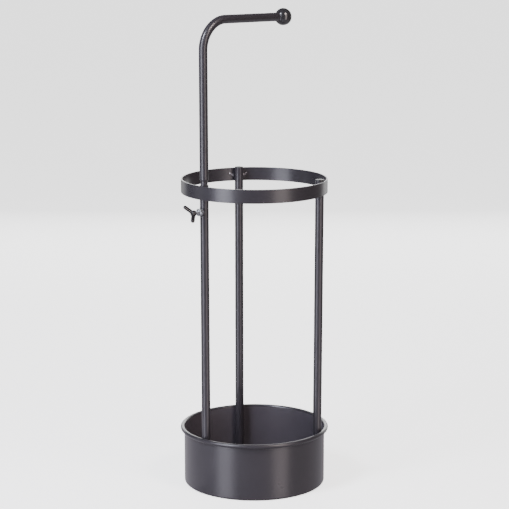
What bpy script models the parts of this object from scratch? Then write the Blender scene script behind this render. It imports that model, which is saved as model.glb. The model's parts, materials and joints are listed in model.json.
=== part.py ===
"""Umbrella stand: a round drip pan, three tube posts inside a flat hoop, and a hook pole.

The hook pole's reduced end stands in one of the posts. It slides up and down there and turns,
and a wing screw clamps it. Metres, +Z up. The origin is the centre of the pan's flat underside,
on the ground, and the hook's post stands on the -X side with the arm reaching towards +X.
"""
import math

import bmesh
import bpy
from mathutils import Matrix, Vector

# Clearance between pieces that touch, and between a pin and its hole
GAP = 0.0003

# Top hoop, a flat bar rolled to a ring
RING_OD = 0.215
RING_THICKNESS = 0.002
RING_HEIGHT = 0.020
RING_TOP = 0.460
RING_EDGE = 0.0004

# Drip pan, a drawn sheet with a bead rolled outwards at its rim
PAN_OD = 0.210
PAN_WALL = 0.0008
PAN_HEIGHT = 0.0865
PAN_CORNER_RADIUS = 0.003
BEAD_DIAMETER = 0.0063

# Round tube of the posts and the hook pole
TUBE_OD = 0.0127
TUBE_WALL = 0.001

# Posts, in order round the stand from the hook's post
POST_SIDES = ("hook", "right", "left")
HOOK_AZIMUTH = 180.0
POST_PAN_CLEARANCE = 0.00048
POST_ABOVE_RING = 0.0005

# Plugs that close the two plain posts
CAP_HEAD = 0.0012
CAP_DOME = 0.0008
CAP_STEM_LENGTH = 0.012
CAP_BORE_DIAMETER = 0.007
CAP_BORE_DEPTH = 0.010

# Screws that hold the posts' feet, up through raised seats in the pan's floor
INSERT_LENGTH = 0.015
FOOT_SCREW_DIAMETER = 0.005
FOOT_SCREW_LENGTH = 0.013
FOOT_SCREW_HEAD_DIAMETER = 0.0095
FOOT_SCREW_HEAD_HEIGHT = 0.00275
FOOT_SCREW_HEAD_SIDE = 0.0009
FOOT_SCREW_HEAD_FACE = 0.0057
FOOT_SCREW_SOCKET = 0.003
FOOT_SCREW_SOCKET_DEPTH = 0.0015
WASHER_DIAMETER = 0.010
WASHER_THICKNESS = 0.001
HEAD_ABOVE_GROUND = 0.0006
SEAT_MARGIN = 0.0005

# Hook pole: reduced end, upright, bend and arm
SPIGOT_LENGTH = 0.120
SPIGOT_TAPER = 0.0015
SHOULDER_RISE = 0.006
ARM_CENTRE_HEIGHT = 0.695
ARM_REACH = 0.158
ARM_DROOP = 1.25
BEND_RADIUS = 0.042
GUIDE_LENGTH = 0.003
GUIDE_STEM_LENGTH = 0.012

# Ball on the arm's end, on a stud
BALL_DIAMETER = 0.0254
STUD_DIAMETER = 0.006
STUD_LENGTH = 0.018
STUD_IN_BALL = 0.010
ARM_INSERT_LENGTH = 0.014

# Wing screw, the nut welded to the post, and the pad that presses on the spigot
SCREW_BELOW_RING = 0.018
SCREW_DIAMETER = 0.006
NUT_ACROSS_FLATS = 0.010
NUT_HEIGHT = 0.005
PAD_DIAMETER = 0.0048
PAD_THICKNESS = 0.0012
PAD_STEM_DIAMETER = 0.002
PAD_STEM_LENGTH = 0.0025
HUB_STANDOFF = 0.0075
HUB_LENGTH = 0.0055
HUB_BASE_DIAMETER = 0.0095
HUB_TIP_DIAMETER = 0.007
HUB_EDGE = 0.001
WING_REACH = 0.0117
WING_RISE = 0.0076
WING_ROOT_RADIUS = 0.0030
WING_TIP_RADIUS = 0.0028
WING_THICKNESS = 0.0036
WING_TURN = 42.0

# Facets round each kind of turned piece, and the degrees that one facet of an arc spans
FACETS_LARGE = 72
FACETS_TUBE = 24
FACETS_SMALL = 20
HEXAGON = 6
POLE_BEVEL_RESOLUTION = 6
DOME_STEPS = 4
ARC_STEP = 24.0
BEND_STEP = 7.5
BALL_STEP = 10.0

# Distance under which doubled points are merged, and the size at which an axis is drawn
MERGE_DISTANCE = 0.00001
AXIS_DISPLAY_SIZE = 0.02

# Sizes that follow from those above
TUBE_RADIUS = TUBE_OD / 2
BORE_RADIUS = TUBE_RADIUS - TUBE_WALL
PLUG_RADIUS = BORE_RADIUS - GAP
RING_BORE_RADIUS = RING_OD / 2 - RING_THICKNESS
PAN_BORE_RADIUS = PAN_OD / 2 - PAN_WALL
RING_BOTTOM = RING_TOP - RING_HEIGHT
POST_SPACING = 360.0 / len(POST_SIDES)
POST_TOP = RING_TOP + POST_ABOVE_RING

# How far out a post's centre line may stand where it is nearest to the hoop and to the pan.
# A post that leans out is nearest to them at its top and at the pan's rim, and one that leans
# in, at the hoop's lower edge and the pan's floor.
RADIUS_IN_RING = RING_BORE_RADIUS - GAP - TUBE_RADIUS
RADIUS_IN_PAN = PAN_BORE_RADIUS - POST_PAN_CLEARANCE - TUBE_RADIUS
LEANS_OUT = RADIUS_IN_RING > RADIUS_IN_PAN
HEIGHT_IN_RING = POST_TOP if LEANS_OUT else RING_BOTTOM
HEIGHT_IN_PAN = PAN_HEIGHT if LEANS_OUT else 0.0
POST_SLOPE = (RADIUS_IN_RING - RADIUS_IN_PAN) / (HEIGHT_IN_RING - HEIGHT_IN_PAN)
POST_LEAN = math.atan(POST_SLOPE)

# A square-cut face on the leaning post dips at one edge, by its radius times the slope
WASHER_GAP = GAP + WASHER_DIAMETER / 2 * abs(POST_SLOPE)
POST_FOOT_GAP = GAP + TUBE_RADIUS * abs(POST_SLOPE)
SEAT_RISE = HEAD_ABOVE_GROUND + FOOT_SCREW_HEAD_HEIGHT + GAP + WASHER_THICKNESS + WASHER_GAP
SEAT_RADIUS = max(WASHER_DIAMETER, FOOT_SCREW_HEAD_DIAMETER) / 2 + SEAT_MARGIN
POST_FOOT = SEAT_RISE + PAN_WALL + POST_FOOT_GAP
POST_FOOT_RADIUS = RADIUS_IN_PAN - POST_SLOPE * (HEIGHT_IN_PAN - POST_FOOT)
POST_LENGTH = (POST_TOP - POST_FOOT) / math.cos(POST_LEAN)
SCREW_ALONG_POST = (RING_BOTTOM - SCREW_BELOW_RING - POST_FOOT) / math.cos(POST_LEAN)
SPIGOT_RADIUS = BORE_RADIUS - GAP
SPIGOT_BORE_RADIUS = SPIGOT_RADIUS - TUBE_WALL
SHOULDER = POST_LENGTH + SHOULDER_RISE
SPIGOT_FOOT = SHOULDER - SPIGOT_LENGTH
ARM_ALONG_POST = (ARM_CENTRE_HEIGHT - POST_FOOT) / math.cos(POST_LEAN)
BALL_RADIUS = BALL_DIAMETER / 2
BALL_FLAT = math.sqrt(BALL_RADIUS ** 2 - TUBE_RADIUS ** 2)
STUD_HOLE_RADIUS = STUD_DIAMETER / 2 + GAP
SCREW_HOLE_RADIUS = SCREW_DIAMETER / 2 + GAP
NUT_FACE = TUBE_RADIUS + GAP
PAD_FACE = SPIGOT_RADIUS + GAP
SCREW_TIP = PAD_FACE + PAD_THICKNESS + GAP
HUB_BASE = NUT_FACE + NUT_HEIGHT + HUB_STANDOFF


def clear_scene():
    """Removes whatever the scene already holds."""
    for item in list(bpy.data.objects):
        bpy.data.objects.remove(item, do_unlink=True)


def collection(name):
    """Returns a new collection in the scene."""
    made = bpy.data.collections.new(name)
    bpy.context.scene.collection.children.link(made)
    return made


def finish(name, colour, metallic, roughness):
    """Returns a Principled material."""
    made = bpy.data.materials.new(name)
    made.use_nodes = True
    shader = made.node_tree.nodes["Principled BSDF"]
    shader.inputs["Base Color"].default_value = (*colour, 1.0)
    shader.inputs["Metallic"].default_value = metallic
    shader.inputs["Roughness"].default_value = roughness
    return made


def axis_empty(name, parent, matrix, group):
    """Makes an empty whose local Z is the axis that its pieces lie on."""
    empty = bpy.data.objects.new(name, None)
    empty.empty_display_size = AXIS_DISPLAY_SIZE
    group.objects.link(empty)
    empty.parent = parent
    empty.matrix_basis = matrix
    return empty


def add_piece(piece, parent, group, material=None):
    """Puts an object in its collection, on its parent, with its material."""
    for old in piece.users_collection:
        old.objects.unlink(piece)
    group.objects.link(piece)
    piece.parent = parent
    if material:
        piece.data.materials.clear()
        piece.data.materials.append(material)
    return piece


def arc(centre, radius, start, end, step=ARC_STEP):
    """Returns points along a round stretch of a profile, from one angle to another in degrees."""
    count = max(2, math.ceil(abs(end - start) / step))
    angles = [math.radians(start + (end - start) * i / count) for i in range(count + 1)]
    return [(centre[0] + radius * math.cos(a), centre[1] + radius * math.sin(a)) for a in angles]


def turned(name, profile, facets, closed=False):
    """Turns a profile of (radius, height) points about Z. Its outer side runs top to bottom."""
    mesh = bpy.data.meshes.new(name)
    edges = [(i, i + 1) for i in range(len(profile) - 1)]
    if closed:
        edges.append((len(profile) - 1, 0))
    mesh.from_pydata([(x, 0.0, z) for x, z in profile], edges, [])
    piece = bpy.data.objects.new(name, mesh)
    screw = piece.modifiers.new("turn", "SCREW")
    screw.angle = math.tau
    screw.steps = facets
    screw.render_steps = facets
    screw.use_merge_vertices = True
    screw.merge_threshold = MERGE_DISTANCE
    screw.use_smooth_shade = True
    return piece


def sleeve(name, outer, inner, low, high, facets):
    """Turns a plain tube between two heights."""
    profile = [(inner, high), (outer, high), (outer, low), (inner, low)]
    return turned(name, profile, facets, closed=True)


def rod(name, radius, low, high, facets=FACETS_SMALL):
    """Turns a plain solid rod between two heights."""
    return turned(name, [(0.0, high), (radius, high), (radius, low), (0.0, low)], facets)


def combine(piece, other, operation, cutters):
    """Joins another shape to a piece, or cuts it out of the piece."""
    for old in other.users_collection:
        old.objects.unlink(other)
    cutters.objects.link(other)
    other.hide_render = True
    other.display_type = "WIRE"
    step = piece.modifiers.new(other.name, "BOOLEAN")
    step.operation = operation
    step.solver = "EXACT"
    step.object = other


def post_matrix(azimuth):
    """Returns a post's frame: the foot's centre, X away from the stand's axis, Z up the leaning post."""
    turn = Matrix.Rotation(math.radians(azimuth), 4, "Z")
    lean = Matrix.Rotation(POST_LEAN, 4, "Y")
    return turn @ Matrix.Translation((POST_FOOT_RADIUS, 0.0, POST_FOOT)) @ lean


def screw_matrix():
    """Returns the wing screw's frame on its post: Z out along the screw, X up the post."""
    axes = Matrix(((0.0, 0.0, 1.0), (0.0, -1.0, 0.0), (1.0, 0.0, 0.0))).to_4x4()
    return Matrix.Translation((0.0, 0.0, SCREW_ALONG_POST)) @ axes


def arm_direction():
    """Returns the arm's direction in the post's frame, level but for its droop."""
    tilt = math.radians(ARM_DROOP)
    return Vector((-math.cos(tilt), 0.0, -math.sin(tilt)))


def arm_tip_matrix():
    """Returns the frame at the ball's centre, with Z out along the arm."""
    along = arm_direction()
    side = Vector((0.0, 1.0, 0.0))
    axes = Matrix((side.cross(along), side, along)).transposed()
    centre = Vector((0.0, 0.0, ARM_ALONG_POST)) + along * ARM_REACH
    return Matrix.Translation(centre) @ axes.to_4x4()


def seat_pocket_profile():
    """Returns the space under a seat: room for the screw's head, and the screw's hole above it."""
    hole = FOOT_SCREW_DIAMETER / 2 + GAP
    top = SEAT_RISE + 2 * PAN_WALL
    profile = [(0.0, top), (hole, top), (hole, SEAT_RISE)]
    return profile + [(SEAT_RADIUS, SEAT_RISE), (SEAT_RADIUS, -PAN_WALL), (0.0, -PAN_WALL)]


def drip_pan(group, cutters, material):
    """Makes the pan: floor, round lower corner, wall, rolled bead, and a raised seat under each post."""
    inner = PAN_BORE_RADIUS
    outer = PAN_OD / 2
    bead = BEAD_DIAMETER / 2
    bead_centre = (inner + bead, PAN_HEIGHT - bead)
    bead_end = -math.degrees(math.acos((outer - bead_centre[0]) / bead))
    inner_corner = PAN_CORNER_RADIUS - PAN_WALL
    profile = [(0.0, PAN_WALL)]
    profile += arc((inner - inner_corner, PAN_CORNER_RADIUS), inner_corner, -90, 0)
    profile += arc(bead_centre, bead, 180, bead_end)
    profile += arc((outer - PAN_CORNER_RADIUS, PAN_CORNER_RADIUS), PAN_CORNER_RADIUS, 0, -90)
    profile += [(0.0, 0.0)]
    pan = add_piece(turned("drip_pan", profile, FACETS_LARGE), None, group, material)
    for index in range(len(POST_SIDES)):
        turn = Matrix.Rotation(math.radians(HOOK_AZIMUTH + POST_SPACING * index), 4, "Z")
        centre = turn @ Matrix.Translation((POST_FOOT_RADIUS, 0.0, 0.0))
        seat = rod(f"seat_{index}", SEAT_RADIUS + PAN_WALL, PAN_WALL / 2, SEAT_RISE + PAN_WALL)
        seat.matrix_basis = centre
        combine(pan, seat, "UNION", cutters)
        pocket = turned(f"pocket_{index}", seat_pocket_profile(), FACETS_SMALL)
        half_facet = Matrix.Rotation(math.pi / FACETS_SMALL, 4, "Z")
        pocket.matrix_basis = centre @ half_facet
        combine(pan, pocket, "DIFFERENCE", cutters)
    return pan


def top_ring(group, material):
    """Makes the hoop from a flat bar with eased edges."""
    outer = RING_OD / 2
    inner = RING_BORE_RADIUS
    profile = [(inner + RING_EDGE, RING_TOP), (outer - RING_EDGE, RING_TOP)]
    profile += [(outer, RING_TOP - RING_EDGE), (outer, RING_BOTTOM + RING_EDGE)]
    profile += [(outer - RING_EDGE, RING_BOTTOM), (inner + RING_EDGE, RING_BOTTOM)]
    profile += [(inner, RING_BOTTOM + RING_EDGE), (inner, RING_TOP - RING_EDGE)]
    hoop = turned("top_ring", profile, FACETS_LARGE, closed=True)
    return add_piece(hoop, None, group, material)


def post(name, axis, group, material):
    """Makes one upright tube."""
    tube = sleeve(name, TUBE_RADIUS, BORE_RADIUS, 0.0, POST_LENGTH, FACETS_TUBE)
    return add_piece(tube, axis, group, material)


def drill_for_screw(tube, cutters):
    """Drills the clamping hole through the outer side of the hook's post."""
    drill = rod("screw_hole", SCREW_HOLE_RADIUS, 0.0, 2 * TUBE_RADIUS)
    drill.parent = tube.parent
    drill.matrix_basis = screw_matrix()
    combine(tube, drill, "DIFFERENCE", cutters)


def post_cap(name, axis, group, material):
    """Makes the plug that closes a post, with a domed head and a hollow stem."""
    seat = POST_LENGTH + GAP
    edge = seat + CAP_HEAD
    dome_radius = (TUBE_RADIUS ** 2 + CAP_DOME ** 2) / (2 * CAP_DOME)
    half_angle = math.degrees(math.asin(TUBE_RADIUS / dome_radius))
    stem_foot = seat - CAP_STEM_LENGTH
    bore = CAP_BORE_DIAMETER / 2
    dome_centre = (0.0, edge + CAP_DOME - dome_radius)
    dome = arc(dome_centre, dome_radius, 90, 90 - half_angle, half_angle / DOME_STEPS)
    profile = [(0.0, edge + CAP_DOME)] + dome[1:]
    profile += [(TUBE_RADIUS, seat), (PLUG_RADIUS, seat), (PLUG_RADIUS, stem_foot), (bore, stem_foot)]
    profile += [(bore, stem_foot + CAP_BORE_DEPTH), (0.0, stem_foot + CAP_BORE_DEPTH)]
    return add_piece(turned(name, profile, FACETS_SMALL), axis, group, material)


def foot_insert(name, axis, group, material):
    """Makes the tapped plug that is pressed into a post's lower end."""
    hole = FOOT_SCREW_DIAMETER / 2 + GAP
    plug = sleeve(name, PLUG_RADIUS, hole, 0.0, INSERT_LENGTH, FACETS_SMALL)
    return add_piece(plug, axis, group, material)


def foot_washer(name, axis, group, material):
    """Makes the washer under a seat, between the pan and the screw's head."""
    top = SEAT_RISE - WASHER_GAP - POST_FOOT
    hole = FOOT_SCREW_DIAMETER / 2 + GAP
    washer = sleeve(name, WASHER_DIAMETER / 2, hole, top - WASHER_THICKNESS, top, FACETS_SMALL)
    return add_piece(washer, axis, group, material)


def foot_screw(name, axis, group, cutters, material):
    """Makes a button-head screw that comes up through the pan into a post's insert."""
    seat = SEAT_RISE - WASHER_GAP - WASHER_THICKNESS - GAP - POST_FOOT
    tip = seat + FOOT_SCREW_LENGTH
    bottom = seat - FOOT_SCREW_HEAD_HEIGHT
    shank = FOOT_SCREW_DIAMETER / 2
    head = FOOT_SCREW_HEAD_DIAMETER / 2
    profile = [(0.0, tip), (shank, tip), (shank, seat), (head, seat)]
    profile += [(head, seat - FOOT_SCREW_HEAD_SIDE), (FOOT_SCREW_HEAD_FACE / 2, bottom), (0.0, bottom)]
    screw = add_piece(turned(name, profile, FACETS_SMALL), axis, group, material)
    corner = FOOT_SCREW_SOCKET / math.sqrt(3)
    socket = rod(f"{name}_socket", corner, bottom - GAP, bottom + FOOT_SCREW_SOCKET_DEPTH, HEXAGON)
    socket.parent = axis
    combine(screw, socket, "DIFFERENCE", cutters)
    return screw


def hook_path():
    """Returns the pole's centre line in its post's frame, as points with a share of the tube's radius."""
    share = SPIGOT_RADIUS / TUBE_RADIUS
    turn = math.radians(90.0 + ARM_DROOP)
    setback = BEND_RADIUS * math.tan(turn / 2)
    start = ARM_ALONG_POST - setback
    tip = Vector((0.0, 0.0, ARM_ALONG_POST)) + arm_direction() * (ARM_REACH - BALL_FLAT - GAP)
    points = [((0.0, 0.0, SPIGOT_FOOT), share), ((0.0, 0.0, SHOULDER), share)]
    points += [((0.0, 0.0, SHOULDER + SPIGOT_TAPER), 1.0)]
    for x, z in arc((-BEND_RADIUS, start), BEND_RADIUS, 0, math.degrees(turn), BEND_STEP):
        points.append(((x, 0.0, z), 1.0))
    points.append((tuple(tip), 1.0))
    return points


def hook_pole(axis, group, material):
    """Makes the bent tube with its reduced lower end: a curve's skin, thickened inwards."""
    curve = bpy.data.curves.new("hook_pole_path", "CURVE")
    curve.dimensions = "3D"
    curve.bevel_depth = TUBE_RADIUS
    curve.bevel_resolution = POLE_BEVEL_RESOLUTION
    curve.use_fill_caps = False
    path = hook_path()
    line = curve.splines.new("POLY")
    line.points.add(len(path) - 1)
    for target, (place, share) in zip(line.points, path):
        target.co = (*place, 1.0)
        target.radius = share
    drawn = bpy.data.objects.new("hook_pole_path", curve)
    group.objects.link(drawn)
    bpy.context.view_layer.update()
    evaluated = drawn.evaluated_get(bpy.context.evaluated_depsgraph_get())
    mesh = bpy.data.meshes.new_from_object(evaluated)
    bpy.data.objects.remove(drawn, do_unlink=True)
    mesh.name = "hook_pole"
    mesh.shade_smooth()
    pole = bpy.data.objects.new("hook_pole", mesh)
    wall = pole.modifiers.new("wall", "SOLIDIFY")
    wall.thickness = TUBE_WALL
    wall.offset = -1.0
    wall.use_even_offset = True
    return add_piece(pole, axis, group, material)


def spigot_guide(axis, group, material):
    """Makes the plug in the spigot's lower end, which runs in the post's bore."""
    top = SPIGOT_FOOT - GAP
    stem_top = SPIGOT_FOOT + GUIDE_STEM_LENGTH
    stem = SPIGOT_BORE_RADIUS - GAP
    profile = [(0.0, stem_top), (stem, stem_top), (stem, top)]
    profile += [(PLUG_RADIUS, top), (PLUG_RADIUS, top - GUIDE_LENGTH), (0.0, top - GUIDE_LENGTH)]
    return add_piece(turned("spigot_guide", profile, FACETS_SMALL), axis, group, material)


def ball_knob(tip, group, material):
    """Makes the ball, flat where it meets the arm, with a blind hole for its stud."""
    flat_angle = math.degrees(math.asin(-BALL_FLAT / BALL_RADIUS))
    hole_end = STUD_IN_BALL + GAP - BALL_FLAT
    profile = [(0.0, BALL_RADIUS)] + arc((0.0, 0.0), BALL_RADIUS, 90, flat_angle, BALL_STEP)[1:]
    profile += [(STUD_HOLE_RADIUS, -BALL_FLAT), (STUD_HOLE_RADIUS, hole_end), (0.0, hole_end)]
    return add_piece(turned("ball_knob", profile, FACETS_TUBE), tip, group, material)


def knob_stud(tip, group, material):
    """Makes the threaded stud between the arm and the ball."""
    high = STUD_IN_BALL - BALL_FLAT
    stud = rod("knob_stud", STUD_DIAMETER / 2, high - STUD_LENGTH, high)
    return add_piece(stud, tip, group, material)


def arm_insert(tip, group, material):
    """Makes the tapped plug in the arm's end."""
    high = -BALL_FLAT - GAP
    low = high - ARM_INSERT_LENGTH
    plug = sleeve("arm_insert", PLUG_RADIUS, STUD_HOLE_RADIUS, low, high, FACETS_SMALL)
    return add_piece(plug, tip, group, material)


def weld_nut(axis, group, cutters, material):
    """Makes the hexagon nut on the post, flats up and down."""
    corner = NUT_ACROSS_FLATS / math.sqrt(3)
    bpy.ops.mesh.primitive_cylinder_add(vertices=HEXAGON, radius=corner, depth=NUT_HEIGHT)
    nut = bpy.context.object
    nut.name = "weld_nut"
    nut.data.transform(Matrix.Translation((0.0, 0.0, NUT_FACE + NUT_HEIGHT / 2)))
    add_piece(nut, axis, group, material)
    hole = rod("nut_hole", SCREW_HOLE_RADIUS, 0.0, HUB_BASE)
    hole.parent = axis
    combine(nut, hole, "DIFFERENCE", cutters)
    return nut


def clamp_pad(axis, group, material):
    """Makes the pad on the screw's tip, which presses on the spigot without turning."""
    back = PAD_FACE + PAD_THICKNESS
    stem = PAD_STEM_DIAMETER / 2
    profile = [(0.0, back + PAD_STEM_LENGTH), (stem, back + PAD_STEM_LENGTH), (stem, back)]
    profile += [(PAD_DIAMETER / 2, back), (PAD_DIAMETER / 2, PAD_FACE), (0.0, PAD_FACE)]
    return add_piece(turned("clamp_pad", profile, FACETS_SMALL), axis, group, material)


def wing_outline():
    """Returns the outline of one wing: a round root and a round tip joined by their tangents."""
    root = Vector((WING_ROOT_RADIUS / 2, HUB_BASE + HUB_LENGTH / 2))
    tip = Vector((WING_REACH, HUB_BASE + HUB_LENGTH / 2 + WING_RISE))
    span = tip - root
    heading = math.degrees(math.atan2(span.y, span.x))
    spread = math.degrees(math.acos((WING_ROOT_RADIUS - WING_TIP_RADIUS) / span.length))
    outline = arc(tip, WING_TIP_RADIUS, heading - spread, heading + spread)
    return outline + arc(root, WING_ROOT_RADIUS, heading + spread, heading - spread + 360)


def wing_plate(name, mirror, axis, cutters, screw):
    """Adds one flat wing to the screw, as an outline with a thickness."""
    curve = bpy.data.curves.new(name, "CURVE")
    curve.dimensions = "2D"
    curve.fill_mode = "BOTH"
    curve.extrude = WING_THICKNESS / 2
    outline = wing_outline()
    line = curve.splines.new("POLY")
    line.points.add(len(outline) - 1)
    for target, (x, y) in zip(line.points, outline):
        target.co = (x, y, 0.0, 1.0)
    line.use_cyclic_u = True
    drawn = bpy.data.objects.new(name, curve)
    cutters.objects.link(drawn)
    bpy.context.view_layer.update()
    evaluated = drawn.evaluated_get(bpy.context.evaluated_depsgraph_get())
    mesh = bpy.data.meshes.new_from_object(evaluated)
    bpy.data.objects.remove(drawn, do_unlink=True)
    cage = bmesh.new()
    cage.from_mesh(mesh)
    bmesh.ops.remove_doubles(cage, verts=cage.verts, dist=MERGE_DISTANCE)
    cage.to_mesh(mesh)
    cage.free()
    plate = bpy.data.objects.new(name, mesh)
    upright = Matrix.Rotation(math.radians(90), 4, "X")
    turn = Matrix.Rotation(math.radians(WING_TURN + (180 if mirror else 0)), 4, "Z")
    plate.parent = axis
    plate.matrix_basis = turn @ upright
    combine(screw, plate, "UNION", cutters)


def wing_screw(axis, group, cutters, material):
    """Makes the wing screw: shank, tapered hub and two wings, with a bore for the pad's stem."""
    shank = SCREW_DIAMETER / 2
    bore = PAD_STEM_DIAMETER / 2 + GAP
    top = HUB_BASE + HUB_LENGTH
    base = HUB_BASE_DIAMETER / 2
    crown = HUB_TIP_DIAMETER / 2
    bore_end = SCREW_TIP + PAD_STEM_LENGTH
    profile = [(0.0, top), (crown - HUB_EDGE, top), (crown, top - HUB_EDGE)]
    profile += [(base, HUB_BASE + GAP), (base, HUB_BASE), (shank, HUB_BASE), (shank, SCREW_TIP)]
    profile += [(bore, SCREW_TIP), (bore, bore_end), (0.0, bore_end)]
    screw = add_piece(turned("wing_screw", profile, FACETS_SMALL), axis, group, material)
    wing_plate("wing_up", False, axis, cutters, screw)
    wing_plate("wing_down", True, axis, cutters, screw)
    return screw


def build():
    """Builds the whole stand."""
    clear_scene()
    group = collection("umbrella_stand")
    cutters = collection("cutters")
    black = finish("black_powder_coat", (0.045, 0.042, 0.048), 0.35, 0.38)
    plastic = finish("black_plastic", (0.05, 0.05, 0.052), 0.0, 0.45)
    steel = finish("zinc_plated_steel", (0.55, 0.56, 0.58), 1.0, 0.35)
    nylon = finish("white_nylon", (0.8, 0.8, 0.77), 0.0, 0.5)

    drip_pan(group, cutters, black)
    top_ring(group, black)
    for index, side in enumerate(POST_SIDES):
        azimuth = HOOK_AZIMUTH + POST_SPACING * index
        axis = axis_empty(f"axis_{side}", None, post_matrix(azimuth), group)
        tube = post(f"post_{side}", axis, group, black)
        foot_insert(f"foot_insert_{side}", axis, group, steel)
        foot_washer(f"foot_washer_{side}", axis, group, steel)
        foot_screw(f"foot_screw_{side}", axis, group, cutters, steel)
        if side == "hook":
            hook_axis = axis
            drill_for_screw(tube, cutters)
        else:
            post_cap(f"post_cap_{side}", axis, group, plastic)

    hook_pole(hook_axis, group, black)
    spigot_guide(hook_axis, group, nylon)
    tip = axis_empty("axis_arm_tip", hook_axis, arm_tip_matrix(), group)
    ball_knob(tip, group, plastic)
    knob_stud(tip, group, steel)
    arm_insert(tip, group, steel)

    screw_axis = axis_empty("axis_wing_screw", hook_axis, screw_matrix(), group)
    weld_nut(screw_axis, group, cutters, steel)
    clamp_pad(screw_axis, group, nylon)
    wing_screw(screw_axis, group, cutters, black)


build()
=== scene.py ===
"""Looks of a steel umbrella stand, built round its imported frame.

Each sub-assembly is a class with its sizes as fields, in metres, and methods that work out its
surfaces. Places come from the frame: the boxes of its nodes and the axes of its joints.
"""

import json
import logging
import math
from dataclasses import dataclass, field
from enum import Enum

import bmesh
import bpy
import numpy as np
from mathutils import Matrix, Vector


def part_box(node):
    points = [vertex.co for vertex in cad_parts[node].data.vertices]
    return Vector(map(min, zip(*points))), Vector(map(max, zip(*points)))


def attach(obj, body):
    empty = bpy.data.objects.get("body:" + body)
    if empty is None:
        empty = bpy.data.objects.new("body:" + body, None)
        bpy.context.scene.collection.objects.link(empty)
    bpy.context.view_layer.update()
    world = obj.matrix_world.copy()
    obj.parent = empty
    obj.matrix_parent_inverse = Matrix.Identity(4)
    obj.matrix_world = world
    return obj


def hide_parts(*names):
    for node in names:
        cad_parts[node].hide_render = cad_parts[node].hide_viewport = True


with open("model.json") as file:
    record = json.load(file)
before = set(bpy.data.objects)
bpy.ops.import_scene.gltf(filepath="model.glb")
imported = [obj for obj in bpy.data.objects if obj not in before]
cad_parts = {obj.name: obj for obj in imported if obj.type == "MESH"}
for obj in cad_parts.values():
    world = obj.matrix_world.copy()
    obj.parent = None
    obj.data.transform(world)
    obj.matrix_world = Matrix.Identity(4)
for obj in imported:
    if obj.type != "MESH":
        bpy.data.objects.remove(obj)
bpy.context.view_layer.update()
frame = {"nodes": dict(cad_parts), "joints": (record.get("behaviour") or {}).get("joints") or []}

LOG = logging.getLogger("umbrella_stand")
Array = np.ndarray
MM = 0.001

# Points round a turned piece, by its size
ROUND_LARGE = 288
ROUND_TUBE = 72
ROUND_SMALL = 48

# Steps in a rounded corner, and how far past its ends a loop keeps the flat beside it flat
CORNER_STEPS = 6
CORNER_HOLD = 0.35

# Corners sharper than this keep a crisp edge, and points nearer than this are one
SHARP_ANGLE = math.radians(38.0)
MERGE = 1e-7

# A nut's flats meet its cones at less than that, so its own limit is lower
NUT_SHARP_ANGLE = math.radians(20.0)

# Rounding of small cut and moulded edges
FINE_EDGE = 0.1 * MM
EASED_EDGE = 0.2 * MM

# Detail of each noise, and the values that most of a noise lies between
CLOUD_DETAIL = 3.0
SKIN_DETAIL = 2.0
WAVE_DETAIL = 1.0
NOISE_SPREAD = (0.3, 0.7)


class Body(Enum):
    """The bodies that pieces ride on."""

    FRAME = "frame"
    HOOK = "hook"
    WING_SCREW = "wing_screw"


class Slot(Enum):
    """The record's material slots that pieces take."""

    POWDER = "powder_coat"
    SCREW = "black_screw"
    PLASTIC = "black_plastic"
    ZINC = "zinc_steel"


# ---------------------------------------------------------------------------------------------
# Surfaces as whole arrays
# ---------------------------------------------------------------------------------------------

def unit(vector: Array) -> Array:
    """Returns a vector, or each vector of an array, at length one."""
    vector = np.asarray(vector, float)
    return vector / np.linalg.norm(vector, axis=-1, keepdims=True)


def corner_arc(before: Array, corner: Array, after: Array, radius: float) -> Array:
    """Rounds one corner of an outline.

    The arc touches both sides at radius / tan(half the opening) from the corner, and runs round the
    centre that lies radius / sin(half the opening) along the corner's bisector.

    Args:
        before: The outline's point before the corner.
        corner: The corner itself.
        after: The outline's point after the corner.
        radius: The arc's radius, or 0 for a crisp corner.

    Returns:
        The arc's points with one more point held on each side of it.
    """
    if radius <= 0.0:
        return corner[None]
    back, ahead = unit(before - corner), unit(after - corner)
    opening = math.acos(float(np.clip(back @ ahead, -1.0, 1.0)))
    reach = radius / math.tan(opening / 2)
    hold = reach + CORNER_HOLD * radius
    centre = corner + unit(back + ahead) * radius / math.sin(opening / 2)
    turn = math.pi - opening
    share = np.linspace(0.0, 1.0, CORNER_STEPS + 1)[:, None]
    start, end = corner + back * reach - centre, corner + ahead * reach - centre
    swept = (np.sin((1 - share) * turn) * start + np.sin(share * turn) * end) / math.sin(turn)
    return np.vstack([corner + back * hold, centre + swept, corner + ahead * hold])


def eased(corners: list[tuple[float, float, float]], closed: bool = False) -> Array:
    """Rounds the corners of an outline given as (across, along, corner radius).

    Args:
        corners: The outline's corners in order.
        closed: Whether the last corner joins the first.

    Returns:
        The outline's points, (count, 2).
    """
    places = np.array([corner[:2] for corner in corners], float)
    radii = [corner[2] for corner in corners]
    arcs = []
    for index, (place, radius) in enumerate(zip(places, radii)):
        inside = closed or 0 < index < len(places) - 1
        before, after = places[index - 1], places[(index + 1) % len(places)]
        arcs.append(corner_arc(before, place, after, radius if inside else 0.0))
    return np.vstack(arcs)


def refined(profile: Array, step: float) -> Array:
    """Adds points evenly along a profile.

    Args:
        profile: Points of (radius, height).
        step: The longest stretch that is left between two points.

    Returns:
        The profile with its new points, (count, 2).
    """
    spans = np.linalg.norm(np.diff(profile, axis=0), axis=1)
    counts = np.maximum(1, np.ceil(spans / step).astype(int))
    ends = np.concatenate([[0], np.cumsum(counts)])
    places = np.arange(ends[-1] + 1)
    return np.stack([np.interp(places, ends, profile[:, axis]) for axis in (0, 1)], axis=-1)


def full_turn(count: int) -> Array:
    """Returns this many even angles round a turn."""
    return np.linspace(0.0, math.tau, count, endpoint=False)


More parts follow.
